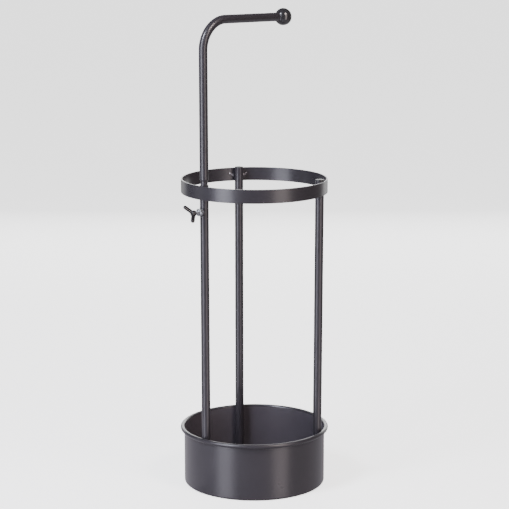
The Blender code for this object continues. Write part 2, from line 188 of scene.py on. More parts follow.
def polar(radius: Array, angle: Array, height: Array) -> Array:
    """Returns points (r cos a, r sin a, z), from arrays that are stretched to one shape."""
    parts = np.broadcast_arrays(radius * np.cos(angle), radius * np.sin(angle), height)
    return np.stack(parts, axis=-1)


def pole(height: float, count: int) -> Array:
    """Returns a row of points that all lie on the axis, to close a turned surface."""
    return np.broadcast_to([0.0, 0.0, height], (1, count, 3))


def hexagon(half: float, angle: Array) -> Array:
    """Returns a hexagon's radius: half its width over cos of the angle folded to 30 degrees."""
    folded = (angle + math.pi / 6) % (math.pi / 3) - math.pi / 6
    return half / np.cos(folded)


def turned(profile: Array, count: int) -> Array:
    """Turns a profile about Z: point (i, j) is (r cos a, r sin a, z), a being j shares of a turn.

    Args:
        profile: Points of (radius, height).
        count: Points round the turn.

    Returns:
        A grid of points, (profile points, count, 3).
    """
    return polar(profile[:, :1], full_turn(count), profile[:, 1:])


@dataclass
class Skin:
    """A closed surface, as a grid of points whose columns run round and join up.

    Attributes:
        points: The grid, (rows, columns, 3).
        ring: Whether the last row joins the first, as on a tube's two walls.
    """

    points: Array
    ring: bool = False

    def faces(self) -> Array:
        """Returns the grid's quads, facing out of the space that they enclose.

        The enclosed volume is a sixth of the sum of a . (b x c) over the triangles (a, b, c), and
        its sign tells which way the quads face.
        """
        rows, columns = self.points.shape[:2]
        index = np.arange(rows * columns).reshape(rows, columns)
        index = np.hstack([index, index[:, :1]])
        if self.ring:
            index = np.vstack([index, index[:1]])
        quads = np.stack([index[:-1, :-1], index[:-1, 1:], index[1:, 1:], index[1:, :-1]], axis=-1)
        quads = quads.reshape(-1, 4)
        flat = self.points.reshape(-1, 3) - self.points.reshape(-1, 3).mean(axis=0)
        a, b, c, d = (flat[quads[:, corner]] for corner in range(4))
        volume = (a * (np.cross(b, c) + np.cross(c, d))).sum()
        return quads if volume > 0.0 else quads[:, ::-1]


def make_piece(name: str, skins: list[Skin], smooth: float = SHARP_ANGLE) -> bpy.types.Object:
    """Makes one object out of closed surfaces, with seams and poles closed.

    Args:
        name: The piece's name.
        skins: Its surfaces.
        smooth: The angle under which neighbouring faces shade as one.

    Returns:
        The object, at the origin, with its place in its mesh.
    """
    points, faces, first = [], [], 0
    for skin in skins:
        points.append(skin.points.reshape(-1, 3))
        faces.append(skin.faces() + first)
        first += len(points[-1])
    mesh = bpy.data.meshes.new(name)
    mesh.from_pydata(np.vstack(points).tolist(), [], np.vstack(faces).tolist())
    cage = bmesh.new()
    cage.from_mesh(mesh)
    bmesh.ops.remove_doubles(cage, verts=cage.verts, dist=MERGE)
    cage.to_mesh(mesh)
    cage.free()
    mesh.shade_smooth()
    mesh.set_sharp_from_angle(angle=smooth)
    piece = bpy.data.objects.new(name, mesh)
    bpy.context.scene.collection.objects.link(piece)
    return piece


def settle(piece: bpy.types.Object, smooth: float = SHARP_ANGLE) -> None:
    """Puts the result of a piece's modifiers into its mesh.

    Args:
        piece: The piece.
        smooth: The angle under which neighbouring faces shade as one.
    """
    bpy.context.view_layer.update()
    evaluated = piece.evaluated_get(bpy.context.evaluated_depsgraph_get())
    mesh = bpy.data.meshes.new_from_object(evaluated)
    piece.modifiers.clear()
    piece.data = mesh
    mesh.name = piece.name
    mesh.shade_smooth()
    mesh.set_sharp_from_angle(angle=smooth)


def show(piece: bpy.types.Object, body: Body, coat: bpy.types.Material, slot: Slot,
         *nodes: str) -> None:
    """Dresses a finished piece, hangs it on the body that it rides on, logs that, and hides the nodes
    that it stands for.

    Args:
        piece: The piece.
        body: The body that it moves with.
        coat: Its material.
        slot: The record's slot that its finish comes from. Not used.
        *nodes: The CAD nodes that it stands for.
    """
    piece.data.materials.clear()
    piece.data.materials.append(coat)
    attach(piece, body.value)
    if nodes:
        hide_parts(*nodes)
    LOG.info("%s: %d faces, on %s", piece.name, len(piece.data.polygons), body.value)


# ---------------------------------------------------------------------------------------------
# Finishes
# ---------------------------------------------------------------------------------------------

def linear(code: str) -> tuple[float, float, float, float]:
    """Turns an sRGB hex colour to linear, by the sRGB curve: (v + 0.055) / 1.055 to the 2.4.

    Args:
        code: The colour, as "#rrggbb".

    Returns:
        Its linear red, green, blue and an alpha of 1.
    """
    values = np.array([int(code[place:place + 2], 16) for place in (1, 3, 5)]) / 255
    curve = np.where(values <= 0.04045, values / 12.92, ((values + 0.055) / 1.055) ** 2.4)
    return (*curve.tolist(), 1.0)


def add_node(tree: bpy.types.NodeTree, kind: str, links: dict | None = None,
             **settings: object) -> bpy.types.Node:
    """Adds a node to a tree.

    Args:
        tree: The node tree.
        kind: The node's type.
        links: Its inputs by name or place: another node's output socket, or a plain value.
        **settings: Its own properties.

    Returns:
        The node.
    """
    node = tree.nodes.new(kind)
    for key, value in settings.items():
        setattr(node, key, value)
    for key, value in (links or {}).items():
        if isinstance(value, bpy.types.NodeSocket):
            tree.links.new(value, node.inputs[key])
        else:
            node.inputs[key].default_value = value
    return node


@dataclass(frozen=True)
class Finish:
    """A surface with a cloudy colour, a cloudy gloss and a fine skin texture.

    Attributes:
        name: The material's name.
        dark: Its darker colour, sRGB hex.
        light: Its lighter colour, sRGB hex.
        metallic: 1 for bare metal, 0 for paint and plastic.
        roughness: The least and the most roughness.
        ior: The index of refraction, where it isn't a metal.
        cloud_mm: Size of the patches in which colour and gloss drift.
        skin_mm: Spacing of the skin's texture.
        skin_height_mm: How high that texture stands.
        wave_mm: Spacing of the slow waves under it.
        wave_height_mm: How high those waves stand.
        glow: Strength of the light that it gives off.
    """

    name: str
    dark: str
    light: str
    metallic: float = 0.0
    roughness: tuple[float, float] = (0.3, 0.4)
    ior: float = 1.5
    cloud_mm: float = 40.0
    skin_mm: float = 1.0
    skin_height_mm: float = 0.004
    wave_mm: float = 9.0
    wave_height_mm: float = 0.01
    glow: float = 0.0

    def noise(self, tree: bpy.types.NodeTree, place: bpy.types.NodeSocket, size_mm: float,
              detail: float) -> bpy.types.NodeSocket:
        """Returns cloudy noise whose patches are this many millimetres across."""
        made = add_node(tree, "ShaderNodeTexNoise",
                        {"Vector": place, "Scale": 1.0 / (size_mm * MM), "Detail": detail})
        return made.outputs["Fac"]

    def make(self) -> bpy.types.Material:
        """Makes the material: noise on Object coordinates drives colour, gloss and bump.

        Returns:
            The material.
        """
        made = bpy.data.materials.new(self.name)
        made.use_nodes = True
        tree = made.node_tree
        shader = tree.nodes["Principled BSDF"]
        place = add_node(tree, "ShaderNodeTexCoord").outputs["Object"]
        cloud = self.noise(tree, place, self.cloud_mm, CLOUD_DETAIL)
        skin = self.noise(tree, place, self.skin_mm, SKIN_DETAIL)
        wave = self.noise(tree, place, self.wave_mm, WAVE_DETAIL)
        colour = add_node(tree, "ShaderNodeMix", {"Factor": cloud, "A": linear(self.dark),
                                                  "B": linear(self.light)}, data_type="RGBA")
        tree.links.new(colour.outputs[2], shader.inputs["Base Color"])
        gloss = add_node(tree, "ShaderNodeMapRange",
                         {"Value": cloud, "From Min": NOISE_SPREAD[0], "From Max": NOISE_SPREAD[1],
                          "To Min": self.roughness[0], "To Max": self.roughness[1]})
        tree.links.new(gloss.outputs["Result"], shader.inputs["Roughness"])
        slow = add_node(tree, "ShaderNodeBump",
                        {"Height": wave, "Distance": self.wave_height_mm * MM, "Strength": 1.0})
        fine = add_node(tree, "ShaderNodeBump",
                        {"Height": skin, "Distance": self.skin_height_mm * MM, "Strength": 1.0,
                         "Normal": slow.outputs["Normal"]})
        tree.links.new(fine.outputs["Normal"], shader.inputs["Normal"])
        shader.inputs["Metallic"].default_value = self.metallic
        if not self.metallic:
            shader.inputs["IOR"].default_value = self.ior
        if self.glow:
            shader.inputs["Emission Color"].default_value = linear(self.light)
            shader.inputs["Emission Strength"].default_value = self.glow
        return made


# Epoxy-polyester powder baked on steel: a satin black with a little orange peel, which softens the
# lights to broad bands. Its warm violet cast is the pigment's.
POWDER_COAT = Finish("satin_black_powder_coat", "#29272b", "#2f2c31", roughness=(0.27, 0.33),
                     cloud_mm=60.0, skin_mm=1.4, skin_height_mm=0.0035, wave_mm=11.0,
                     wave_height_mm=0.012)

# The same powder inside the pan, a little rougher, and painted paler than outside: painted light, for
# the light that reaches in over the rim
INSIDE_COAT_PAINTED_LIGHT = Finish("powder_coat_inside_pan_painted_lighter", "#413d43", "#4a464c", roughness=(0.34, 0.42),
                     cloud_mm=45.0, skin_mm=1.2, skin_height_mm=0.005, wave_mm=11.0,
                     wave_height_mm=0.012)

# The powder over a weld, painted a light metallic grey so that the lamps' highlights on it show
# brighter: painted highlight. Its gloss is broken by ripples
WELD_COAT_PAINTED_HIGHLIGHT = Finish("powder_coat_over_weld_painted_highlight", "#8f8b90", "#aba7ac", metallic=0.7,
                   roughness=(0.22, 0.34), cloud_mm=3.0, skin_mm=0.7, skin_height_mm=0.02,
                   wave_mm=2.5, wave_height_mm=0.05)

# Die-cast zinc dipped in black: glossier than the powder, with the casting's faint dimples
CAST_BLACK = Finish("black_die_cast_zinc", "#161517", "#222024", roughness=(0.2, 0.3),
                    cloud_mm=6.0, skin_mm=0.8, skin_height_mm=0.006, wave_mm=3.0,
                    wave_height_mm=0.02)

# Phenolic knob: a hard plastic moulded to a gloss, so that the lamps stay small and sharp in it
PHENOLIC = Finish("black_phenolic", "#222123", "#28272a", roughness=(0.14, 0.2), ior=1.6,
                  cloud_mm=10.0, skin_mm=1.2, skin_height_mm=0.0015, wave_mm=6.0,
                  wave_height_mm=0.006)

# Injection-moulded polypropylene, evenly matt from a spark-eroded mould
MOULDED_PLASTIC = Finish("black_moulded_plastic", "#2a2a2b", "#323233", roughness=(0.34, 0.44),
                         ior=1.49, cloud_mm=8.0, skin_mm=0.35, skin_height_mm=0.006)

# Natural nylon, milky and a little waxy
NYLON = Finish("natural_nylon", "#d8d5c8", "#e6e3d8", roughness=(0.4, 0.5), ior=1.53,
               cloud_mm=5.0, skin_mm=0.5, skin_height_mm=0.004)

# Zinc plate on turned steel: bright, a little blue, its gloss broken by handling
ZINC_PLATE = Finish("zinc_plated_steel", "#a9adb3", "#c3c5c8", metallic=1.0,
                    roughness=(0.25, 0.42), cloud_mm=3.0, skin_mm=0.4, skin_height_mm=0.003)

# Pale studio sheet, matt paper lit evenly from behind
STUDIO_SHEET = Finish("pale_studio_sheet", "#f2f2f2", "#f6f6f6", roughness=(0.85, 0.95),
                      cloud_mm=700.0, skin_mm=3.0, skin_height_mm=0.01, glow=2.2)


# ---------------------------------------------------------------------------------------------
# Axes
# ---------------------------------------------------------------------------------------------

@dataclass(frozen=True)
class Line:
    """An axis that pieces lie on.

    Attributes:
        start: A point on it, the pieces' own origin.
        along: Its direction, their Z.
        out: A direction square to it, their X.
    """

    start: Array
    along: Array
    out: Array

    def place(self, local: Array) -> Array:
        """Carries local points into the stand: start + x out + y side + z along."""
        axes = np.stack([self.out, np.cross(self.along, self.out), self.along])
        return self.start + local @ axes

    def spun(self, degrees: float) -> "Line":
        """Turns the axis round the stand's own upright axis.

        Args:
            degrees: How far it turns.

        Returns:
            The turned axis.
        """
        angle = math.radians(degrees)
        turn = np.array([[math.cos(angle), -math.sin(angle), 0.0],
                         [math.sin(angle), math.cos(angle), 0.0], [0.0, 0.0, 1.0]])
        return Line(turn @ self.start, turn @ self.along, turn @ self.out)


def make_turned(name: str, line: Line, section: Array, count: int,
                ring: bool = False) -> bpy.types.Object:
    """Makes a piece by turning a section about an axis.

    Args:
        name: The piece's name.
        line: The axis.
        section: Points of (radius, height).
        count: Points round the turn.
        ring: Whether the section's last point joins its first.

    Returns:
        The object.
    """
    return make_piece(name, [Skin(line.place(turned(section, count)), ring)])


def joint_axis(name: str) -> tuple[Array, Array]:
    """Returns a point on a joint's axis and the axis's direction."""
    found = next(joint for joint in frame["joints"] if joint["name"] == name)
    return np.array(found["pos_m"], float), unit(found["axis"])


@dataclass
class Tube:
    """The round steel tube of the posts and the hook.

    Attributes:
        radius: Its outer radius.
        wall: Its wall.
        gap: Clearance to what fits in or round it.
    """

    radius: float = 6.35 * MM
    wall: float = 1.0 * MM
    gap: float = 0.3 * MM

    @property
    def bore(self) -> float:
        """Its inner radius."""
        return self.radius - self.wall

    @property
    def plug(self) -> float:
        """Radius of what slides in it."""
        return self.bore - self.gap


def hook_line(tube: Tube) -> Line:
    """Works out the hook post's axis.

    Args:
        tube: The post's tube.

    Returns:
        The axis, starting at the centre of the post's foot.
    """
    point, along = joint_axis("hook_turn")
    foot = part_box("post_hook")[0].z + tube.radius * math.hypot(along[0], along[1])
    start = point + along * (foot - point[2]) / along[2]
    outward = unit(np.array([start[0], start[1], 0.0]))
    side = unit(np.cross(along, outward))
    return Line(start, along, np.cross(side, along))


# ---------------------------------------------------------------------------------------------
# Sub-assemblies
# ---------------------------------------------------------------------------------------------

@dataclass
class DripPan:
    """The drawn steel pan with its rolled bead and the three seats that the posts stand on.

    Attributes:
        wall: Thickness of its sheet.
        bead: Radius of the rolled bead.
        bead_steps: Points round the bead.
        corner: Outer radius where wall and floor meet.
        seat_radius: Outer radius of a raised seat.
        seat_edge: Rounding of a seat's shoulder.
        seat_gap: Clearance between a seat and the post over it.
        hole: Radius of the screw's hole through a seat.
        face_length: The longest face along its section.
    """

    wall: float = 0.8 * MM
    bead: float = 3.15 * MM
    bead_steps: int = 40
    corner: float = 3.0 * MM
    seat_radius: float = 6.3 * MM
    seat_edge: float = 0.5 * MM
    seat_gap: float = 0.3 * MM
    hole: float = 2.8 * MM
    face_length: float = 6.0 * MM

    def profile(self) -> Array:
        """Works out the pan's section: floor, corner, wall, round the bead and down the outside.

        Returns:
            The section's points, (count, 2).
        """
        low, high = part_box("drip_pan")
        outer = high.x - 2 * self.bead + self.wall
        inner = outer - self.wall
        seam = math.acos((outer - high.x + self.bead) / self.bead)
        angle = np.linspace(math.pi, -seam, self.bead_steps)
        bead = np.stack([high.x - self.bead + self.bead * np.cos(angle),
                         high.z - self.bead + self.bead * np.sin(angle)], axis=-1)
        inside = eased([(0.0, self.wall, 0.0), (inner, self.wall, self.corner - self.wall),
                        (inner, high.z - self.bead, 0.0)])
        outside = eased([(outer, bead[-1, 1], 0.0), (outer, low.z, self.corner), (0.0, low.z, 0.0)])
        return np.vstack([inside[:-1], bead, outside[1:]])

    def cutter(self, name: str, corners: list[tuple[float, float, float]],
               line: Line) -> bpy.types.Object:
        """Makes a turned shape, upright over a post's foot, to join to the pan or cut from it.

        Args:
            name: The shape's name.
            corners: Its outline, as (radius, height, corner radius).
            line: The post's axis.

        Returns:
            The shape's object.
        """
        foot = np.array([line.start[0], line.start[1], 0.0])
        return make_piece(name, [Skin(turned(eased(corners), ROUND_TUBE) + foot)])

    def coat_inside(self, pan: bpy.types.Object, coat: bpy.types.Material) -> None:
        """Gives the faces over the floor, inside the wall and under the bead their own coat, painted
        paler as painted light for the light that reaches into the pan.

        Args:
            pan: The finished pan.
            coat: The inside's paler material, painted light.
        """
        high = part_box("drip_pan")[1]
        middle = np.empty(3 * len(pan.data.polygons), dtype=np.float32)
        pan.data.polygons.foreach_get("center", middle)
        across, side, level = middle.reshape(-1, 3).T
        inside = np.hypot(across, side) < high.x - 2 * self.bead + self.wall / 2
        inside &= (level > self.wall / 2) & (level < high.z - self.bead)
        pan.data.materials.append(coat)
        pan.data.polygons.foreach_set("material_index", inside.astype(np.int32))

    def make(self, posts: dict[str, Line], coat: bpy.types.Material,
             inside_coat_painted_light: bpy.types.Material) -> None:
        """Builds the pan: its turned shell, with a seat raised and bored under each post.

        Args:
            posts: Each post's axis, by its side.
            coat: The pan's material.
            inside_coat_painted_light: The material inside it.
        """
        section = refined(self.profile(), self.face_length)
        pan = make_piece("pan_shell", [Skin(turned(section, ROUND_LARGE))])
        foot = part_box("post_hook")[0].z
        top = foot - self.seat_gap
        roof = top - self.wall
        pocket = self.seat_radius - self.wall
        seat = [(0.0, top, 0.0), (self.seat_radius, top, self.seat_edge),
                (self.seat_radius, self.wall / 2, 0.0), (0.0, self.wall / 2, 0.0)]
        hollow = [(0.0, foot, 0.0), (self.hole, foot, 0.0), (self.hole, roof, 0.0),
                  (pocket, roof, self.seat_edge), (pocket, -self.wall, 0.0),
                  (0.0, -self.wall, 0.0)]
        tools = []
        for side, line in posts.items():
            tools += [("UNION", self.cutter(f"seat_{side}", seat, line)),
                      ("DIFFERENCE", self.cutter(f"pocket_{side}", hollow, line))]
        for operation, tool in tools:
            step = pan.modifiers.new(tool.name, "BOOLEAN")
            step.operation, step.object, step.solver = operation, tool, "EXACT"
        settle(pan)
        for _, tool in tools:
            bpy.data.objects.remove(tool, do_unlink=True)
        show(pan, Body.FRAME, coat, Slot.POWDER, "drip_pan")
        # The faces inside the pan take a paler coat: painted light for the light that reaches in over
        # the rim
        self.coat_inside(pan, inside_coat_painted_light)


@dataclass
class Hoop:
    """The top hoop, a flat bar rolled to a ring, and the welds that hold the posts to it.

    Attributes:
        thickness: The bar's thickness.
        edge: Rounding of the bar's edges.
        weld_radius: Half the width of a weld's bead.
        weld_near: How far to the side of a post's middle a weld starts.
        weld_far: How far to the side it ends.
        weld_rise: How much higher it ends.
        weld_oval: Power of the oval that rounds its ends.
        weld_taper: Share of its width that it loses by its end.
        weld_ripples: Ripples along it, and their height as a share of its radius.
        weld_proud: How far its middle stands off the bar, as a share of its radius.
        weld_height: Its height as a share of its depth.
        weld_points: Points along it and round it.
    """

    thickness: float = 2.0 * MM
    edge: float = 0.5 * MM
    weld_radius: float = 1.5 * MM
    weld_near: float = 6.6 * MM
    weld_far: float = 14.0 * MM
    weld_rise: float = 4.2 * MM
    weld_oval: int = 8
    weld_taper: float = 0.25
    weld_ripples: tuple[int, float] = (5, 0.1)
    weld_proud: float = 0.4
    weld_height: float = 1.15
    weld_points: tuple[int, int] = (41, 24)

    def make(self, coat: bpy.types.Material) -> None:
        """Builds the hoop from its section, a rectangle with eased corners.

        Args:
            coat: Its material.
        """
        low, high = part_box("top_ring")
        inner = high.x - self.thickness
        section = eased([(inner, high.z, self.edge), (high.x, high.z, self.edge),
                         (high.x, low.z, self.edge), (inner, low.z, self.edge)], closed=True)
        hoop = make_piece("hoop_bar", [Skin(turned(section, ROUND_LARGE), ring=True)])
        show(hoop, Body.FRAME, coat, Slot.POWDER, "top_ring")

    def weld(self, line: Line, hand: float) -> Skin:
        """Works out one weld's bead, from the crevice beside a post out along the hoop's inside.

        Its middle line follows the hoop at a share t of its length. Its radius is the bead's own
        times sqrt(1 - (2t - 1)^8), less the taper, with ripples of a cosine along it.

        Args:
            line: The post's axis.
            hand: 1 for the weld on one side of the post, -1 for the other.

        Returns:
            The bead's surface.
        """
        low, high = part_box("top_ring")
        inner = high.x - self.thickness
        share = np.linspace(0.0, 1.0, self.weld_points[0])[:, None]
        heading = math.atan2(line.start[1], line.start[0])
        beside = self.weld_near + share * (self.weld_far - self.weld_near)
        azimuth = heading + hand * beside / inner
        level = (low.z + high.z) / 2 + (share - 0.5) * self.weld_rise
        oval = np.sqrt(np.clip(1 - (2 * share - 1) ** self.weld_oval, 0.0, 1.0))
        count, ripple = self.weld_ripples
        swell = 1.0 - self.weld_taper * share + ripple * np.cos(math.tau * count * share)
        radius = self.weld_radius * oval * swell
        angle = full_turn(self.weld_points[1])
        reach = inner - self.weld_proud * self.weld_radius - radius * np.cos(angle)
        height = level + self.weld_height * radius * np.sin(angle)
        return Skin(polar(reach, azimuth, height))

    def make_welds(self, side: str, line: Line, coat: bpy.types.Material) -> None:
        """Builds the two welds beside a post."""
        beads = [self.weld(line, hand) for hand in (1.0, -1.0)]
        # The welds' coat is painted a lighter metallic grey than the powder: painted highlight
        show(make_piece(f"hoop_welds_{side}", beads, math.pi), Body.FRAME, coat, Slot.POWDER)


@dataclass
class Post:
    """An upright tube with what closes and holds it: a cap at its top, a screw at its foot.

    Attributes:
        tube: The tube that it is cut from.
        edge: Rounding of the tube's cut ends.
        cap_head: Height of the cap's rim.
        cap_dome: Rise of its dome over the rim.
        cap_dome_share: Where the dome ends, as a share of the cap's radius.
        cap_dome_steps: Points along the dome.
        cap_edges: Rounding over the rim, under it and at the stem's foot.
        cap_stem: Length of its hollow stem.
        cap_bore: Radius and depth of the hollow in the stem.
        screw_head: Radius and height of the foot screw's head.
        screw_crown: Rise, top radius and rounding of the head's domed side.
        screw_rim: Radius where the head's flat top meets the socket's slope.
        screw_shank: Radius and length of its shank.
        screw_tip: Rounding of the shank's tip.
        screw_socket: Half the width across its socket's flats, and the socket's depth.
        screw_drill: Depth of the drilled cone past the socket.
        washer: Outer radius, bore and thickness of its washer.
    """

    tube: Tube = field(default_factory=Tube)
    edge: float = 0.25 * MM
    cap_head: float = 1.2 * MM
    cap_dome: float = 0.8 * MM
    cap_dome_share: float = 0.88
    cap_dome_steps: int = 14
    cap_edges: tuple[float, float, float] = (0.45 * MM, 0.15 * MM, 0.4 * MM)
    cap_stem: float = 12.0 * MM
    cap_bore: tuple[float, float] = (3.5 * MM, 10.0 * MM)
    screw_head: tuple[float, float] = (4.75 * MM, 2.75 * MM)
    screw_crown: tuple[float, float, float] = (1.6 * MM, 3.1 * MM, 0.9 * MM)
    screw_rim: float = 2.0 * MM
    screw_shank: tuple[float, float] = (2.5 * MM, 13.0 * MM)
    screw_tip: float = 0.5 * MM
    screw_socket: tuple[float, float] = (1.5 * MM, 1.5 * MM)
    screw_drill: float = 0.4 * MM
    washer: tuple[float, float, float] = (5.0 * MM, 2.8 * MM, 1.0 * MM)

    def length(self, line: Line) -> float:
        """Returns the hook post's length, which is every post's."""
        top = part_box("post_hook")[1].z - self.tube.radius * math.hypot(line.along[0], line.along[1])
        return (top - line.start[2]) / line.along[2]

    def make_tube(self, side: str, line: Line, coat: bpy.types.Material) -> None:
        """Builds the tube from its wall's section, a long rectangle with eased ends.

        Args:
            side: The post's side.
            line: Its axis.
            coat: Its material.
        """
        top = self.length(line)
        outer, inner = self.tube.radius, self.tube.bore
        section = eased([(inner, top, self.edge), (outer, top, self.edge), (outer, 0.0, self.edge),
                         (inner, 0.0, self.edge)], closed=True)
        tube = make_turned(f"{side}_post_tube", line, section, ROUND_TUBE, ring=True)
        show(tube, Body.FRAME, coat, Slot.POWDER, f"post_{side}")

    def make_cap(self, side: str, line: Line, coat: bpy.types.Material) -> None:
        """Builds the cap: a low dome, z = rim + dome (1 - (r / R)^2), on a rim over a hollow stem.

        Args:
            side: The post's side.
            line: Its axis.
            coat: The cap's material.
        """
        seat = self.length(line) + self.tube.gap
        rim, foot = seat + self.cap_head, seat - self.cap_stem
        bore, depth = self.cap_bore
        over, under, end = self.cap_edges
        across = np.linspace(0.0, self.cap_dome_share, self.cap_dome_steps)
        height = rim + self.cap_dome * (1 - across ** 2)
        dome = np.stack([across * self.tube.radius, height], axis=-1)
        lower = eased([(*dome[-1], 0.0), (self.tube.radius, rim - FINE_EDGE, over),
                       (self.tube.radius, seat, under), (self.tube.plug, seat, 0.0),
                       (self.tube.plug, foot, end), (bore, foot, EASED_EDGE),
                       (bore, foot + depth, 0.0), (0.0, foot + depth, 0.0)])
        section = np.vstack([dome, lower[1:]])
        cap = make_turned(f"{side}_post_plug", line, section, ROUND_TUBE)
        show(cap, Body.FRAME, coat, Slot.PLASTIC, f"post_cap_{side}")

    def washer_foot(self, side: str, line: Line) -> float:
        """Returns how far along the post's axis its washer starts."""
        return (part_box(f"foot_washer_{side}")[0].z - line.start[2]) / line.along[2]

    def make_washer(self, side: str, line: Line, coat: bpy.types.Material) -> None:
        """Builds the foot's washer from its section, a rectangle with eased corners.

        Args:
            side: The post's side.
            line: Its axis.
            coat: The washer's material.
        """
        outer, bore, thick = self.washer
        level = self.washer_foot(side, line)
        section = eased([(bore, level + thick, FINE_EDGE), (outer, level + thick, EASED_EDGE),
                         (outer, level, EASED_EDGE), (bore, level, FINE_EDGE)], closed=True)
        washer = make_turned(f"{side}_foot_plain_washer", line, section, ROUND_SMALL, ring=True)
        show(washer, Body.FRAME, coat, Slot.ZINC, f"foot_washer_{side}")

    def make_screw(self, side: str, line: Line, coat: bpy.types.Material) -> None:
        """Builds the foot's button-head screw, whose socket is a hexagon.

        Args:
            side: The post's side.
            line: Its axis.
            coat: The screw's material.
        """
        seat = self.washer_foot(side, line) - self.tube.gap
        radius, height = self.screw_head
        bottom, tip = seat - height, seat + self.screw_shank[1]
        rise, crown, rounding = self.screw_crown
        section = eased([(0.0, tip, 0.0), (self.screw_shank[0], tip, self.screw_tip),
                         (self.screw_shank[0], seat, 0.0), (radius, seat, FINE_EDGE),
                         (radius, bottom + rise, rounding), (crown, bottom, rounding),
                         (self.screw_rim, bottom, 0.0)])
        half, depth = self.screw_socket
        angle = full_turn(ROUND_SMALL)
        levels = np.array([[bottom], [bottom + depth]])
        socket = polar(hexagon(half, angle)[None], angle, levels)
        drilled = pole(bottom + depth + self.screw_drill, ROUND_SMALL)
        grid = np.vstack([turned(section, ROUND_SMALL), socket, drilled])
        screw = make_piece(f"{side}_foot_button_screw", [Skin(line.place(grid))])
        show(screw, Body.FRAME, coat, Slot.ZINC, f"foot_screw_{side}")


